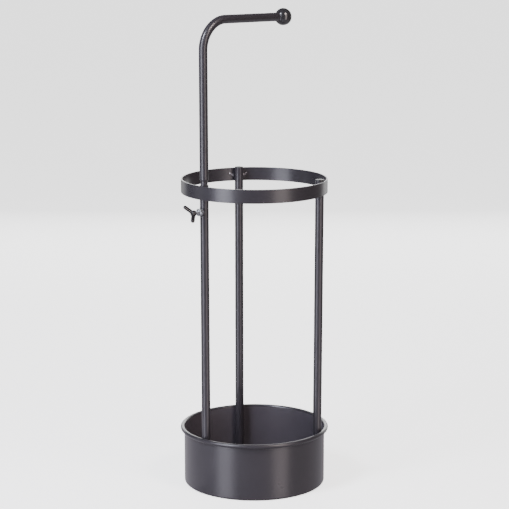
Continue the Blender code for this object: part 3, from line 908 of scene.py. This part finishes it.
@dataclass
class Hook:
    """The hook: a tube with a reduced lower end, a bend and an arm, and the ball on the arm's end.

    Attributes:
        tube: The tube that it is bent from.
        spigot: Length of the reduced end, from its foot to the shoulder.
        shoulder_rise: How far the shoulder stands over the post's top.
        taper: Length over which the tube swells from the reduced end.
        arm_height: Height of the arm's middle line over the ground, at the post's axis.
        reach: Length of the arm from the post's axis to the ball's centre.
        droop: The arm's fall below level, in degrees.
        bend: Radius of the bend's middle line.
        ball: The ball's radius.
        ball_steps: Points along the ball's arc.
        stud_hole: Radius of the hole in the ball for its stud.
        stud_depth: Depth of that hole.
        edges: Rounding at the reduced end's foot, under its shoulder and over it.
        face_length: The longest face along the tube.
    """

    tube: Tube = field(default_factory=Tube)
    spigot: float = 120.0 * MM
    shoulder_rise: float = 6.0 * MM
    taper: float = 1.5 * MM
    arm_height: float = 695.0 * MM
    reach: float = 158.0 * MM
    droop: float = 1.25
    bend: float = 42.0 * MM
    ball: float = 12.7 * MM
    ball_steps: int = 60
    stud_hole: float = 3.3 * MM
    stud_depth: float = 10.3 * MM
    edges: tuple[float, float, float] = (0.3 * MM, 0.4 * MM, 0.8 * MM)
    face_length: float = 1.5 * MM

    @property
    def turn(self) -> float:
        """Angle of the whole bend."""
        return math.radians(90.0 + self.droop)

    @property
    def ball_flat(self) -> float:
        """Distance from the ball's centre to the flat that the arm's end meets."""
        return math.sqrt(self.ball ** 2 - self.tube.radius ** 2)

    def corner(self, line: Line) -> float:
        """Returns where the arm's middle line crosses the post's, measured along the post."""
        return (self.arm_height - line.start[2]) / line.along[2]

    def carry(self, line: Line, profile: Array) -> Array:
        """Carries a turned profile along the hook's middle line instead of straight up.

        The line runs up to the bend, round it by an angle that grows as length over radius, and on
        straight. A point lies its radius from the line, on the circle square to it.

        Args:
            line: The post's axis.
            profile: Points of (radius, length along the middle line).

        Returns:
            A grid of points, (profile points, count, 3).
        """
        begin = self.corner(line) - self.bend * math.tan(self.turn / 2)
        radius, along = profile[:, :1], profile[:, 1:]
        angle = np.clip((along - begin) / self.bend, 0.0, self.turn)
        beyond = np.maximum(along - begin - self.bend * self.turn, 0.0)
        middle_x = -self.bend * (1 - np.cos(angle)) - beyond * math.sin(self.turn)
        middle_z = (np.minimum(along, begin) + self.bend * np.sin(angle)
                    + beyond * math.cos(self.turn))
        around = full_turn(ROUND_TUBE)
        across = radius * np.cos(around)
        return np.stack([middle_x + across * np.cos(angle), radius * np.sin(around),
                         middle_z + across * np.sin(angle)], axis=-1)

    def tip(self, line: Line) -> Line:
        """Works out the axis at the ball's centre.

        Args:
            line: The post's axis.

        Returns:
            The axis, pointing out along the arm.
        """
        tilt = math.radians(self.droop)
        local = np.array([[0.0, 0.0, self.corner(line)], [-math.cos(tilt), 0.0, -math.sin(tilt)]])
        corner = line.place(local[0])
        along = line.place(local[1]) - line.start
        side = np.cross(line.along, line.out)
        return Line(corner + along * self.reach, along, np.cross(side, along))

    def make_tube(self, line: Line, top: float, coat: bpy.types.Material) -> None:
        """Builds the bent tube, its two walls as one closed profile carried along the bend.

        Args:
            line: The post's axis.
            top: The post's length.
            coat: The tube's material.
        """
        shoulder = top + self.shoulder_rise
        foot, swelled = shoulder - self.spigot, shoulder + self.taper
        setback = self.bend * math.tan(self.turn / 2)
        arm = self.reach - setback - self.ball_flat - self.tube.gap
        end = self.corner(line) - setback + self.bend * self.turn + arm
        neck, neck_bore = self.tube.plug, self.tube.plug - self.tube.wall
        at_foot, under, over = self.edges
        section = eased([(neck, foot, at_foot), (neck, shoulder, under),
                         (self.tube.radius, swelled, over), (self.tube.radius, end, EASED_EDGE),
                         (self.tube.bore, end, EASED_EDGE), (self.tube.bore, swelled, 0.0),
                         (neck_bore, shoulder, 0.0), (neck_bore, foot, EASED_EDGE)], closed=True)
        points = self.carry(line, refined(section, self.face_length))
        hook = make_piece("bent_hook_tube", [Skin(line.place(points), ring=True)])
        show(hook, Body.HOOK, coat, Slot.POWDER, "hook_pole")

    def make_ball(self, line: Line, coat: bpy.types.Material) -> None:
        """Builds the ball: a circle's arc from its far pole to the flat, then the stud's blind hole.

        Args:
            line: The post's axis.
            coat: The ball's material.
        """
        angle = np.linspace(math.pi / 2, -math.asin(self.ball_flat / self.ball), self.ball_steps)
        shell = self.ball * np.stack([np.cos(angle), np.sin(angle)], axis=-1)
        shell[0, 0] = 0.0
        flat, end = -self.ball_flat, self.stud_depth - self.ball_flat
        hole = eased([(shell[-1, 0], flat, 0.0), (self.stud_hole, flat, EASED_EDGE),
                      (self.stud_hole, end, 0.0), (0.0, end, 0.0)])
        section = np.vstack([shell, hole[1:]])
        ball = make_turned("arm_end_ball", self.tip(line), section, ROUND_TUBE)
        show(ball, Body.HOOK, coat, Slot.PLASTIC, "ball_knob")


@dataclass
class Clamp:
    """The weld nut on the hook's post and the wing screw in it.

    Attributes:
        tube: The post's tube.
        nut_half: Half the width across the nut's flats.
        nut_height: Its height.
        nut_cone: Where the cone over its corners starts, as a share of that half width.
        nut_waist: How far the middle of its sides is drawn in.
        nut_bore: Its bore's clearance to the thread, and the countersink at both ends.
        weld_ring: Radius of the weld's ring, as a share of the nut's half width.
        weld_over: How much the weld's radius is past half the gap that it fills.
        weld_ripples: Count, height and lag of each of its ripples.
        weld_squash: Its width as a share of its height.
        weld_points: Points along the weld and round it.
        thread: Radius of the screw's thread over its crests.
        pitch: The thread's pitch.
        thread_depth: Its depth.
        thread_ridge: Middle and swing of a ridge's shape, before its crest and root are cut flat.
        thread_steps: Rows of points along one pitch.
        shank: Where the thread starts, from the post's axis.
        standoff: Gap between the nut and the wings' hub.
        hub: Radius of the hub at its base and at its crown.
        hub_edges: Rounding of the hub at its base and at its crown.
        hub_length: Its length.
        wing_root: A wing's half width at its root.
        wing_tip: A wing's half width at its tip.
        wing_span: Where a wing's tip lies, out from the screw and up from the hub's middle.
        wing_half: Half a wing's thickness at its root and tip.
        wing_oval: Power of the squared oval that is its section.
        wing_fade: Power by which its thickness falls at its ends.
        wing_points: Points along a wing and round it.
        wing_turn: The wings' turn round the screw, in degrees.
        melt_size: Size of the cells that the hub and wings are melted into one by.
        melt_ease: Strength and rounds of the smoothing after that.
    """

    tube: Tube = field(default_factory=Tube)
    nut_half: float = 5.0 * MM
    nut_height: float = 5.0 * MM
    nut_cone: float = 0.97
    nut_waist: float = 0.02 * MM
    nut_bore: tuple[float, float] = (0.1 * MM, 0.5 * MM)
    weld_ring: float = 1.06
    weld_over: float = 0.55 * MM
    weld_ripples: tuple[tuple[int, float, float], ...] = ((14, 0.07, 0.0), (5, 0.05, 1.0))
    weld_squash: float = 0.75
    weld_points: tuple[int, int] = (120, 20)
    thread: float = 2.95 * MM
    pitch: float = 1.0 * MM
    thread_depth: float = 0.6 * MM
    thread_ridge: tuple[float, float] = (0.5, 0.75)
    thread_steps: int = 14
    shank: float = 6.85 * MM
    standoff: float = 7.5 * MM
    hub: tuple[float, float] = (4.75 * MM, 3.5 * MM)
    hub_edges: tuple[float, float] = (0.5 * MM, 1.2 * MM)
    hub_length: float = 5.5 * MM
    wing_root: float = 2.9 * MM
    wing_tip: float = 2.9 * MM
    wing_span: tuple[float, float] = (11.7 * MM, 7.6 * MM)
    wing_half: tuple[float, float] = (2.1 * MM, 2.0 * MM)
    wing_oval: float = 3.0
    wing_fade: float = 0.25
    wing_points: tuple[int, int] = (60, 40)
    wing_turn: float = 42.0
    melt_size: float = 0.2 * MM
    melt_ease: tuple[float, int] = (0.5, 8)

    @property
    def nut_face(self) -> float:
        """Distance from the post's axis to the nut."""
        return self.tube.radius + self.tube.gap

    @property
    def hub_base(self) -> float:
        """Distance from the post's axis to the hub."""
        return self.nut_face + self.nut_height + self.standoff

    def line(self) -> Line:
        """Returns the screw's axis, out from the post's middle, with X up the post."""
        point, along = joint_axis("screw_turn")
        return Line(point, along, joint_axis("hook_turn")[1])

    def make_nut(self, coat: bpy.types.Material) -> None:
        """Builds the nut: a hexagon whose corners are cut back by a 30 degree cone at both ends.

        The cone lowers a corner by tan 30 times how far its radius is past the cone's start.

        Args:
            coat: The nut's material.
        """
        angle = full_turn(2 * ROUND_TUBE)
        side = hexagon(self.nut_half, angle)
        start = self.nut_cone * self.nut_half
        cut = (side - start) * math.tan(math.pi / 6)
        clearance, sink = self.nut_bore
        bore = self.thread + clearance
        low, high = self.nut_face, self.nut_face + self.nut_height
        radii = (bore, bore, bore + sink, start, side, side - self.nut_waist, side, start, bore + sink)
        levels = (low + sink, high - sink, high, high, high - cut, (low + high) / 2, low + cut, low, low)
        rows = [polar(radius, angle, level) for radius, level in zip(radii, levels)]
        nut = make_piece("hexagon_weld_nut", [Skin(self.line().place(np.stack(rows)), ring=True)],
                         NUT_SHARP_ANGLE)
        show(nut, Body.FRAME, coat, Slot.ZINC, "weld_nut")

    def make_nut_weld(self, coat: bpy.types.Material) -> None:
        """Builds the weld round the nut's foot, a ring that fills the gap down to the round tube.

        Round the nut at an angle a the tube's face lies sqrt(R^2 - (r sin a)^2) from its axis. The
        bead's middle is halfway from there to the nut, and its radius is half that gap and a bit
        over, rippled by cosines.

        Args:
            coat: The weld's material.
        """
        ring = self.weld_ring * self.nut_half
        along, round_bead = self.weld_points
        angle, around = full_turn(along)[:, None], full_turn(round_bead)
        surface = np.sqrt(self.tube.radius ** 2 - (ring * np.sin(angle)) ** 2)
        ripple = sum(share * np.cos(count * angle + lag) for count, share, lag in self.weld_ripples)
        bead = ((self.nut_face - surface) / 2 + self.weld_over) * (1.0 + ripple)
        reach = ring + self.weld_squash * bead * np.cos(around)
        level = (surface + self.nut_face) / 2 + bead * np.sin(around)
        skin = Skin(self.line().place(polar(reach, angle, level)), ring=True)
        show(make_piece("nut_weld", [skin], math.pi), Body.FRAME, coat, Slot.POWDER)

    def wing(self, hand: float) -> Skin:
        """Works out one wing: an oval section carried from the wing's root to its tip.

        The half width at a distance t along the wing is that of a round root and a round tip joined
        by a straight taper. The section is a squared oval, (|x|/w)^3 + (|y|/h)^3 = 1.

        Args:
            hand: 1 for the wing on one side of the screw, -1 for the other.

        Returns:
            The wing's surface.
        """
        middle = self.hub_base + self.hub_length / 2
        base = np.array([self.wing_root / 2, middle])
        tip = np.array([self.wing_span[0], middle + self.wing_span[1]])
        length = float(np.linalg.norm(tip - base))
        along, around = self.wing_points
        share = (1 - np.cos(np.linspace(0.0, math.pi, along))) / 2
        place = -self.wing_root + share * (length + self.wing_root + self.wing_tip)
        taper = self.wing_root + (self.wing_tip - self.wing_root) * np.clip(place / length, 0.0, 1.0)
        past = np.where(place < 0.0, -place / self.wing_root,
                        np.maximum(place - length, 0.0) / self.wing_tip)
        rounding = np.clip(1 - past ** 2, 0.0, 1.0)
        half = taper * np.sqrt(rounding)
        thick = self.wing_half[0] + (self.wing_half[1] - self.wing_half[0]) * share
        thick = thick * rounding ** self.wing_fade
        angle = full_turn(around)
        oval_x, oval_y = (np.sign(side) * np.abs(side) ** (2 / self.wing_oval)
                          for side in (np.cos(angle), np.sin(angle)))
        heading = unit(tip - base)
        across = np.array([-heading[1], heading[0]])
        flat = base + place[:, None, None] * heading + (half[:, None] * oval_x)[..., None] * across
        depth = thick[:, None] * oval_y
        turn = math.radians(self.wing_turn)
        out_x, out_y = math.cos(turn), math.sin(turn)
        grid = np.stack([hand * (flat[..., 0] * out_x) - depth * out_y,
                         hand * (flat[..., 0] * out_y) + depth * out_x, flat[..., 1]], axis=-1)
        return Skin(self.line().place(grid))

    def make_head(self, coat: bpy.types.Material) -> None:
        """Builds the cast head: hub and wings melted into one skin, with the casting's soft roots.

        Args:
            coat: The head's material.
        """
        base, crown = self.hub
        at_base, at_crown = self.hub_edges
        low, high = self.hub_base, self.hub_base + self.hub_length
        hub = eased([(0.0, high, 0.0), (crown, high, at_crown), (base, low, at_base),
                     (0.0, low, 0.0)])
        skin = Skin(self.line().place(turned(hub, ROUND_TUBE)))
        head = make_piece("wing_screw_head", [skin, self.wing(1.0), self.wing(-1.0)], math.pi)
        melt = head.modifiers.new("melt", "REMESH")
        melt.mode, melt.voxel_size = "VOXEL", self.melt_size
        ease = head.modifiers.new("ease", "SMOOTH")
        ease.factor, ease.iterations = self.melt_ease
        settle(head, math.pi)
        show(head, Body.WING_SCREW, coat, Slot.SCREW, "wing_screw")

    def make_thread(self, coat: bpy.types.Material) -> None:
        """Builds the screw's threaded shank, which runs a third of the way into the hub.

        Its radius at a height z and an angle a is the crest's less the depth times a rounded ridge
        of z / pitch - a / turn, and the ridge fades out over the last pitch at each end.

        Args:
            coat: The thread's material.
        """
        low, high = self.shank, self.hub_base + self.hub_length / 3
        rows = int((high - low) / self.pitch * self.thread_steps)
        level, angle = np.linspace(low, high, rows)[:, None], full_turn(ROUND_SMALL)
        phase = level / self.pitch - angle / math.tau
        middle, swing = self.thread_ridge
        ridge = np.clip(middle + swing * np.cos(math.tau * phase), 0.0, 1.0)
        fade = np.clip(np.minimum(level - low, high - level) / self.pitch, 0.0, 1.0)
        radius = self.thread - self.thread_depth * (1 - ridge * fade)
        grid = np.vstack([pole(low, ROUND_SMALL), polar(radius, angle, level),
                          pole(high, ROUND_SMALL)])
        shank = make_piece("wing_screw_thread", [Skin(self.line().place(grid))])
        show(shank, Body.WING_SCREW, coat, Slot.ZINC)


@dataclass
class HiddenParts:
    """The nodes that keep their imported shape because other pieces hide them."""

    steel: tuple[str, ...] = ("foot_insert_hook", "foot_insert_left", "foot_insert_right",
                              "knob_stud", "arm_insert")
    nylon: tuple[str, ...] = ("spigot_guide", "clamp_pad")

    def dress(self, steel: bpy.types.Material, nylon: bpy.types.Material) -> None:
        """Gives each kept node its material.

        Args:
            steel: The material of the inserts and the stud.
            nylon: The material of the guide and the pad.
        """
        for names, coat in ((self.steel, steel), (self.nylon, nylon)):
            for name in names:
                node = frame["nodes"][name]
                node.data.materials.clear()
                node.data.materials.append(coat)
                LOG.info("%s keeps its packed shape", name)


# ---------------------------------------------------------------------------------------------
# Studio
# ---------------------------------------------------------------------------------------------

@dataclass(frozen=True)
class Softbox:
    """A lamp with a large soft face that looks at the stand.

    Attributes:
        name: Its name.
        place: Its centre, in metres.
        size: Its width and height.
        power: Its power, in watts.
        colour: Its light's colour, sRGB hex.
        aim: The point that it looks at.
    """

    name: str
    place: tuple[float, float, float]
    size: tuple[float, float]
    power: float
    colour: str
    aim: tuple[float, float, float] = (0.0, 0.0, 0.3)

    def make(self) -> None:
        """Builds the lamp, unseen by the camera itself."""
        lamp = bpy.data.lights.new(self.name, "AREA")
        lamp.shape = "RECTANGLE"
        lamp.size, lamp.size_y = self.size
        lamp.energy = self.power
        lamp.color = linear(self.colour)[:3]
        stand = bpy.data.objects.new(self.name, lamp)
        stand.location = self.place
        back = unit(np.array(self.place) - np.array(self.aim))
        stand.rotation_euler = (math.acos(back[2]), 0.0, math.atan2(back[0], -back[1]))
        stand.visible_camera = False
        bpy.context.scene.collection.objects.link(stand)


@dataclass
class Studio:
    """The sheet that the stand is on, the lamps, the surrounding light and the camera.

    Attributes:
        sheet_flat: How far out the sheet lies flat.
        sheet_sweep: Radius of its sweep from the floor to upright.
        sheet_steps: Points along that sweep.
        sheet_top: Height that it rises to.
        sheet_drop: How far it lies under the stand, so that the two never share a face.
        camera_place: The camera's place, in metres.
        camera_turn: Its tilt, roll and heading, in degrees.
        lens_mm: Its focal length.
        sensor_mm: Its sensor's width.
        far: How far the camera sees, past the sheet.
        surround: Strength of the surrounding light.
        lamps: The lamps. The left and right ones give the two soft bands down the tubes and the
            pan, the back one lights the rims from behind, the edge ones and the fill draw the
            outlines, and the floor ones stand in for the light that a pale floor throws up.
    """

    sheet_flat: float = 14.0
    sheet_sweep: float = 6.0
    sheet_steps: int = 24
    sheet_top: float = 20.0
    sheet_drop: float = 0.1 * MM
    camera_place: tuple[float, float, float] = (-1.8744, -1.9688, 0.8916)
    camera_turn: tuple[float, float, float] = (78.646, 0.0, -43.599)
    lens_mm: float = 132.9
    sensor_mm: float = 36.0
    far: float = 200.0
    surround: float = 0.16
    lamps: tuple[Softbox, ...] = (
        Softbox("left_softbox", (-1.7, 0.02, 1.15), (0.75, 2.1), 50.0, "#eef0ff", (0.0, 0.0, 1.15)),
        Softbox("left_bounce", (-1.7, 0.02, -0.25), (0.75, 0.7), 8.5, "#f1effc", (0.0, 0.0, -0.25)),
        Softbox("left_high", (-1.5, 0.02, 1.9), (0.5, 0.5), 34.0, "#eef3ff", (0.0, 0.0, 0.4)),
        Softbox("right_softbox", (-0.05, -1.7, 1.15), (0.7, 2.1), 20.0, "#fff0ea",
                (0.0, 0.0, 1.15)),
        Softbox("right_bounce", (-0.05, -1.7, -0.25), (0.7, 0.7), 5.0, "#fff0f0",
                (0.0, 0.0, -0.25)),
        Softbox("right_high", (-0.05, -1.5, 1.9), (0.5, 0.5), 24.0, "#fff0ea", (0.0, 0.0, 0.4)),
        Softbox("back_softbox", (1.6, 1.7, 1.0), (2.2, 1.2), 40.0, "#ffffff", (0.0, 0.0, 1.0)),
        Softbox("left_edge", (0.36, 2.4, 0.4), (1.0, 1.4), 4.0, "#ffffff", (0.0, 0.0, 0.4)),
        Softbox("right_edge", (2.4, 0.5, 0.4), (1.0, 1.4), 8.0, "#ffffff", (0.0, 0.0, 0.4)),
        Softbox("side_fill", (-1.2, 1.25, 0.5), (0.5, 0.8), 1.0, "#ffffff", (0.0, 0.0, 0.5)),
        Softbox("floor_bounce", (0.0, 0.0, 0.0), (2.0, 2.0), 6.5, "#f6effc", (0.0, 0.0, 1.0)),
        Softbox("left_floor", (-0.12, 0.28, 0.0), (0.5, 0.5), 0.25, "#f6effc", (-0.12, 0.28, 1.0)),
    )

    def make_floor(self, sheet: bpy.types.Material) -> None:
        """Builds the sheet, which lies flat, sweeps up by a quarter circle and rises all round.

        Only the camera sees it, so that it doesn't mirror in the stand or light it.

        Args:
            sheet: Its material.
        """
        rise = np.linspace(0.0, math.pi / 2, self.sheet_steps)
        sweep = np.stack([self.sheet_flat + self.sheet_sweep * np.sin(rise),
                          self.sheet_sweep * (1 - np.cos(rise))], axis=-1)
        wall = [(self.sheet_flat + self.sheet_sweep, self.sheet_top)]
        profile = np.vstack([[(0.0, 0.0)], sweep, wall]) - [0.0, self.sheet_drop]
        floor = make_piece("studio_sheet", [Skin(turned(profile, ROUND_TUBE))])
        floor.data.flip_normals()
        floor.data.materials.append(sheet)
        floor.visible_glossy = False
        floor.visible_diffuse = False
        floor.visible_shadow = False

    def make_surround(self) -> None:
        """Builds the surrounding light."""
        world = bpy.data.worlds.new("studio")
        world.use_nodes = True
        shader = world.node_tree.nodes["Background"]
        shader.inputs["Color"].default_value = linear("#ffffff")
        shader.inputs["Strength"].default_value = self.surround
        bpy.context.scene.world = world

    def make_camera(self) -> None:
        """Builds the camera at the viewing angle."""
        lens = bpy.data.cameras.new("camera")
        lens.lens = self.lens_mm
        lens.sensor_width = self.sensor_mm
        lens.clip_end = self.far
        camera = bpy.data.objects.new("camera", lens)
        camera.location = self.camera_place
        camera.rotation_euler = tuple(math.radians(angle) for angle in self.camera_turn)
        bpy.context.scene.collection.objects.link(camera)
        bpy.context.scene.camera = camera

    def make(self, sheet: bpy.types.Material) -> None:
        """Builds the whole studio.

        Args:
            sheet: The sheet's material.
        """
        self.make_camera()
        self.make_floor(sheet)
        self.make_surround()
        for lamp in self.lamps:
            lamp.make()


def main() -> None:
    """Builds the studio and the stand, piece by piece."""
    logging.basicConfig(level=logging.INFO, format="%(message)s")
    Studio().make(STUDIO_SHEET.make())
    powder, weld_coat_painted_highlight = POWDER_COAT.make(), WELD_COAT_PAINTED_HIGHLIGHT.make()
    plastic, cast = MOULDED_PLASTIC.make(), CAST_BLACK.make()
    zinc, nylon = ZINC_PLATE.make(), NYLON.make()

    hook_post = hook_line(Tube())
    posts = {"hook": hook_post, "right": hook_post.spun(120.0), "left": hook_post.spun(240.0)}
    DripPan().make(posts, powder, INSIDE_COAT_PAINTED_LIGHT.make())
    hoop, post = Hoop(), Post()
    hoop.make(powder)
    for side, line in posts.items():
        hoop.make_welds(side, line, weld_coat_painted_highlight)
        post.make_tube(side, line, powder)
        post.make_washer(side, line, zinc)
        post.make_screw(side, line, zinc)
        if side != "hook":
            post.make_cap(side, line, plastic)
    hook = Hook()
    hook.make_tube(hook_post, post.length(hook_post), powder)
    hook.make_ball(hook_post, PHENOLIC.make())
    clamp = Clamp()
    clamp.make_nut(zinc)
    clamp.make_nut_weld(powder)
    clamp.make_head(cast)
    clamp.make_thread(zinc)
    HiddenParts().dress(zinc, nylon)


if __name__ == "__main__":
    main()
